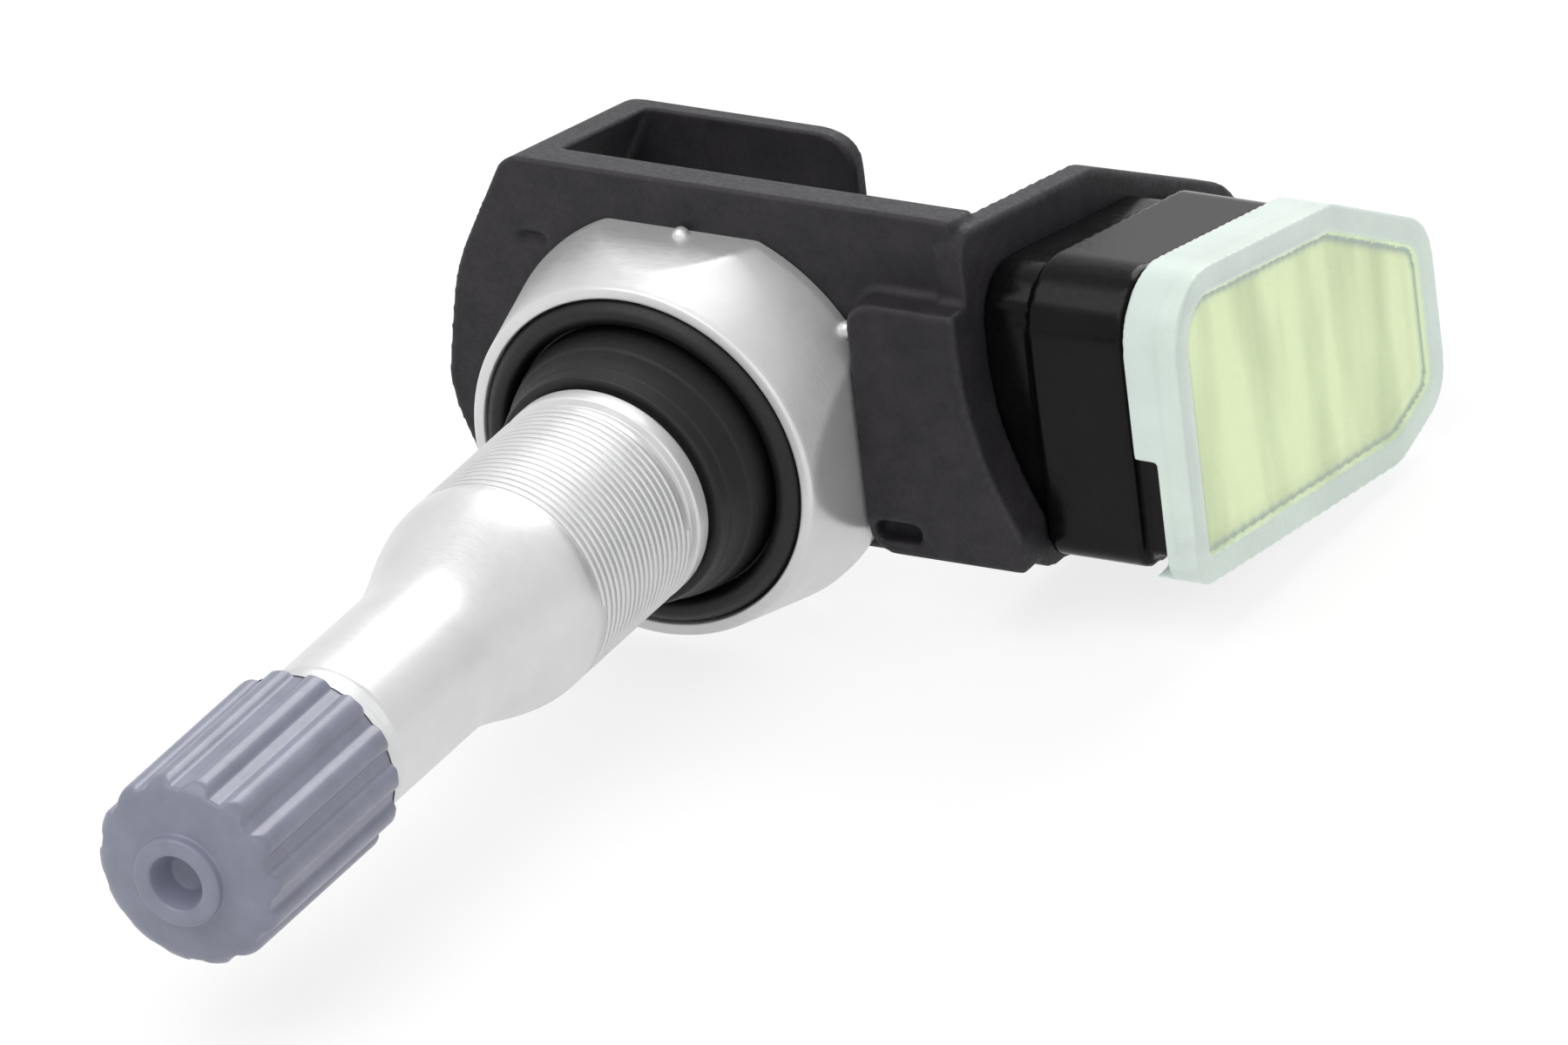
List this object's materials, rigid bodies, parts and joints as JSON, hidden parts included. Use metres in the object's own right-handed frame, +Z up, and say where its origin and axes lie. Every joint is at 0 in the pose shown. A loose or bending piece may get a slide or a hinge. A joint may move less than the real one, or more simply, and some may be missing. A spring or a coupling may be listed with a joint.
{
  "type": "tyre pressure sensor",
  "caption": "Clamp-in tyre valve with fluted cap and rubber rim grommet, on a black bracket holding a sealed electronics case that senses tyre pressure.",
  "frame": {"origin": "on the valve stem's axis, at the barrel's base, just in front of the grommet, where the rim wall begins", "axes": "-Y along the stem towards the cap, +X along the bracket towards the electronics case, +Z up"},
  "size_m": [0.0401, 0.0754, 0.0213],
  "materials": {
    "cap_plastic": "semi-gloss grey moulded plastic",
    "stem_alloy": "satin turned and clear anodised",
    "black_rubber": "satin moulded rubber",
    "bracket_plastic": "matte, finely textured moulding",
    "case_plastic": "glossy moulding",
    "cover_plastic": "milky translucent moulding",
    "potting_resin": "clear yellow-green cast resin",
    "core_brass": "turned brass",
    "spring_steel": "drawn wire",
    "screw_steel": "zinc plated",
    "board_laminate": "solder mask over glass fibre laminate",
    "cell_steel": "pressed nickel-plated can",
    "tab_nickel": "nickel strip",
    "chip_package": "moulded package",
    "ferrite": "sintered ferrite",
    "copper_wire": "enamelled winding"
  },
  "bodies": {
    "sensor": {"valve_stem": "stem_alloy", "stem_screw": "screw_steel", "rim_grommet": "black_rubber", "core_plug": "core_brass", "core_barrel": "core_brass", "core_gasket": "black_rubber", "core_spring": "spring_steel", "bracket": "bracket_plastic", "electronics_case": "case_plastic", "end_cover": "cover_plastic", "circuit_board": "board_laminate", "pressure_chip": "chip_package", "port_seal": "black_rubber", "battery_cell": "cell_steel", "battery_tab_plus": "tab_nickel", "battery_tab_minus": "tab_nickel", "coil_core": "ferrite", "coil_winding": "copper_wire", "crystal_can": "tab_nickel", "chip_parts": "chip_package", "antenna_loop": "tab_nickel", "potting": "potting_resin"},
    "cap_washer": {"cap_seal": "black_rubber"},
    "cap": {"valve_cap": "cap_plastic"},
    "core": {"core_pin": "core_brass", "poppet_seal": "black_rubber"}
  },
  "joints": [
    {"name": "cap_lift", "type": "slide", "parent": "sensor", "child": "cap_washer", "axis": [0, -1, 0], "range_m": [0, 0.00635]},
    {"name": "cap_turn", "type": "hinge", "parent": "cap_washer", "child": "cap", "pos_m": [0, -0.036, 0], "axis": [0, -1, 0], "range_deg": [0, 2881]},
    {"name": "core_press", "type": "slide", "parent": "sensor", "child": "core", "axis": [0, 1, 0], "range_m": [0, 0.0012], "stiffness_N_per_m": 400, "springref_m": -0.004, "deforming": ["core_spring"]}
  ],
  "couplings": [
    {"joint": "cap_turn", "follows": "cap_lift", "rad_per_m": 7915.8}
  ]
}
